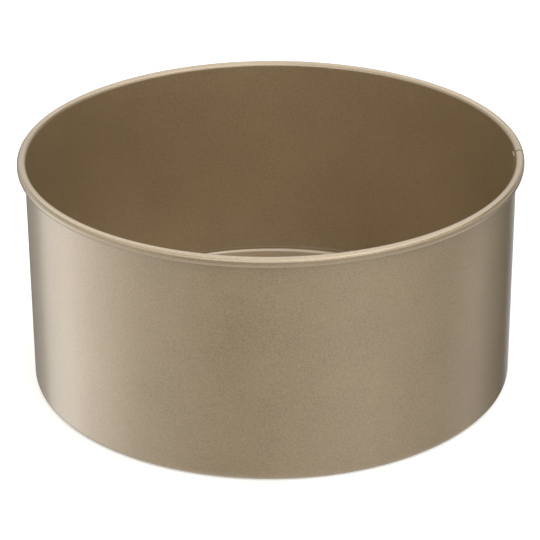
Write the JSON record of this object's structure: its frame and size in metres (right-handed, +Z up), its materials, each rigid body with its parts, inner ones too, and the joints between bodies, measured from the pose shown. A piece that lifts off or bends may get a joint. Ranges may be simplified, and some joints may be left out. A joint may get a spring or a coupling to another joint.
{
  "type": "cake pan",
  "caption": "Deep round cake pan: a straight rolled-steel wall with a wired bead at the rim, and a loose pressed base that pushes out upwards.",
  "frame": {"origin": "middle of the foot ring, on the surface that the pan stands on", "axes": "+Z up along the pan's axis; the side seam lies at +X"},
  "size_m": [0.1612, 0.1612, 0.0755],
  "materials": {
    "coated_wall": "satin metallic champagne-gold non-stick coat on carbon steel sheet",
    "wire": "drawn and galvanised steel wire",
    "coated_base": "satin metallic champagne-gold non-stick coat on carbon steel sheet"
  },
  "bodies": {
    "pan": {"pan_wall": "coated_wall", "rim_wire": "wire"},
    "base": {"loose_base": "coated_base"}
  },
  "joints": [
    {"name": "base_lift", "type": "slide", "parent": "pan", "child": "base", "axis": [0, 0, 1], "range_m": [0, 0.085]}
  ]
}
